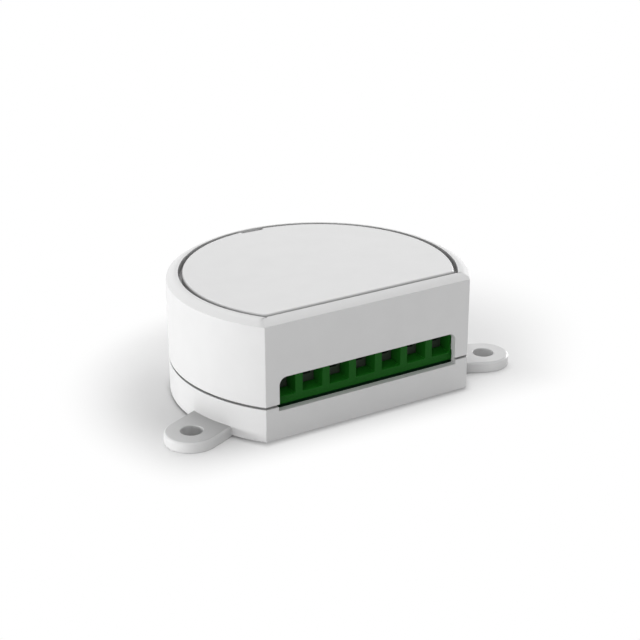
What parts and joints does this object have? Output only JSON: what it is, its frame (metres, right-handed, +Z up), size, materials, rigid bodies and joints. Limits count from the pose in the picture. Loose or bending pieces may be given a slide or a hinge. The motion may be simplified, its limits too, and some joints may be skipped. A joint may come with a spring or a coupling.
{
  "type": "lighting control unit",
  "caption": "Round flush-box lighting control unit with a flat front of screw terminals, a push-in lid and two mounting ears.",
  "frame": {"origin": "middle of the outline's bounding box, on the surface the unit rests on", "axes": "+Z up through the lid, -Y out of the wire terminals, +X to the right seen from the terminals"},
  "size_m": [0.067, 0.0418, 0.0211],
  "materials": {
    "housing_white": "fine satin moulded surface",
    "terminal_green": "dark green moulded surface",
    "board_green": "green solder resist over glass fibre",
    "plated_steel": "nickel plating",
    "tinned_brass": "tin plating over brass",
    "relay_black": "black moulded surface",
    "ferrite": "dark ground ferrite",
    "coil_tape": "yellow polyester tape",
    "bobbin_black": "black moulded surface",
    "sleeve_black": "shrunk sleeve",
    "fuse_brown": "brown moulded surface",
    "disc_blue": "dipped resin",
    "film_grey": "grey box",
    "radio_blue": "blue solder resist",
    "switch_black": "black moulded surface",
    "stem_grey": "grey moulded surface",
    "led_white": "milky resin",
    "guide_clear": "clear polycarbonate",
    "chip_black": "black resin"
  },
  "bodies": {
    "housing": {"base_tray": "housing_white", "circuit_board": "board_green", "film_capacitor": "film_grey", "fuse": "fuse_brown", "input_capacitor": "sleeve_black", "light_guide": "guide_clear", "output_capacitor": "sleeve_black", "radio_board": "radio_blue", "radio_pins": "tinned_brass", "radio_shield": "plated_steel", "relay_left": "relay_black", "relay_pins": "tinned_brass", "relay_right": "relay_black", "status_led": "led_white", "surface_chips": "chip_black", "switch_body": "switch_black", "terminal_body": "terminal_green", "terminal_contacts": "tinned_brass", "transformer_coil": "coil_tape", "transformer_core": "ferrite", "transformer_foot": "bobbin_black", "upper_cover": "housing_white", "varistor": "disc_blue"},
    "lid": {"top_lid": "housing_white"},
    "stem": {"switch_stem": "stem_grey"},
    "screw_1": {"terminal_screw_1": "plated_steel"},
    "cage_1": {"terminal_cage_1": "plated_steel"},
    "screw_2": {"terminal_screw_2": "plated_steel"},
    "cage_2": {"terminal_cage_2": "plated_steel"},
    "screw_3": {"terminal_screw_3": "plated_steel"},
    "cage_3": {"terminal_cage_3": "plated_steel"},
    "screw_4": {"terminal_screw_4": "plated_steel"},
    "cage_4": {"terminal_cage_4": "plated_steel"},
    "screw_5": {"terminal_screw_5": "plated_steel"},
    "cage_5": {"terminal_cage_5": "plated_steel"},
    "screw_6": {"terminal_screw_6": "plated_steel"},
    "cage_6": {"terminal_cage_6": "plated_steel"},
    "screw_7": {"terminal_screw_7": "plated_steel"},
    "cage_7": {"terminal_cage_7": "plated_steel"}
  },
  "joints": [
    {"name": "lid_lift", "type": "slide", "parent": "housing", "child": "lid", "axis": [0, 0, 1], "range_m": [0, 0.012]},
    {"name": "screw_1_turn", "type": "hinge", "parent": "housing", "child": "screw_1", "pos_m": [-0.01524, -0.01485, 0.01562], "axis": [0, 0, -1], "range_deg": [0, 1640]},
    {"name": "screw_2_turn", "type": "hinge", "parent": "housing", "child": "screw_2", "pos_m": [-0.01016, -0.01485, 0.01562], "axis": [0, 0, -1], "range_deg": [0, 1640]},
    {"name": "screw_3_turn", "type": "hinge", "parent": "housing", "child": "screw_3", "pos_m": [-0.00508, -0.01485, 0.01562], "axis": [0, 0, -1], "range_deg": [0, 1640]},
    {"name": "screw_4_turn", "type": "hinge", "parent": "housing", "child": "screw_4", "pos_m": [0, -0.01485, 0.01562], "axis": [0, 0, -1], "range_deg": [0, 1640]},
    {"name": "screw_5_turn", "type": "hinge", "parent": "housing", "child": "screw_5", "pos_m": [0.00508, -0.01485, 0.01562], "axis": [0, 0, -1], "range_deg": [0, 1640]},
    {"name": "screw_6_turn", "type": "hinge", "parent": "housing", "child": "screw_6", "pos_m": [0.01016, -0.01485, 0.01562], "axis": [0, 0, -1], "range_deg": [0, 1640]},
    {"name": "screw_7_turn", "type": "hinge", "parent": "housing", "child": "screw_7", "pos_m": [0.01524, -0.01485, 0.01562], "axis": [0, 0, -1], "range_deg": [0, 1640]},
    {"name": "cage_1_rise", "type": "slide", "parent": "housing", "child": "cage_1", "axis": [0, 0, 1], "range_m": [0, 0.00202]},
    {"name": "cage_2_rise", "type": "slide", "parent": "housing", "child": "cage_2", "axis": [0, 0, 1], "range_m": [0, 0.00202]},
    {"name": "cage_3_rise", "type": "slide", "parent": "housing", "child": "cage_3", "axis": [0, 0, 1], "range_m": [0, 0.00202]},
    {"name": "cage_4_rise", "type": "slide", "parent": "housing", "child": "cage_4", "axis": [0, 0, 1], "range_m": [0, 0.00202]},
    {"name": "cage_5_rise", "type": "slide", "parent": "housing", "child": "cage_5", "axis": [0, 0, 1], "range_m": [0, 0.00202]},
    {"name": "cage_6_rise", "type": "slide", "parent": "housing", "child": "cage_6", "axis": [0, 0, 1], "range_m": [0, 0.00202]},
    {"name": "cage_7_rise", "type": "slide", "parent": "housing", "child": "cage_7", "axis": [0, 0, 1], "range_m": [0, 0.00202]},
    {"name": "stem_press", "type": "slide", "parent": "housing", "child": "stem", "axis": [0, 0, -1], "range_m": [0, 0.00025], "stiffness_N_per_m": 3000, "springref_m": -0.0002}
  ],
  "couplings": [
    {"joint": "screw_1_turn", "follows": "cage_1_rise", "rad_per_m": 13963},
    {"joint": "screw_2_turn", "follows": "cage_2_rise", "rad_per_m": 13963},
    {"joint": "screw_3_turn", "follows": "cage_3_rise", "rad_per_m": 13963},
    {"joint": "screw_4_turn", "follows": "cage_4_rise", "rad_per_m": 13963},
    {"joint": "screw_5_turn", "follows": "cage_5_rise", "rad_per_m": 13963},
    {"joint": "screw_6_turn", "follows": "cage_6_rise", "rad_per_m": 13963},
    {"joint": "screw_7_turn", "follows": "cage_7_rise", "rad_per_m": 13963}
  ]
}
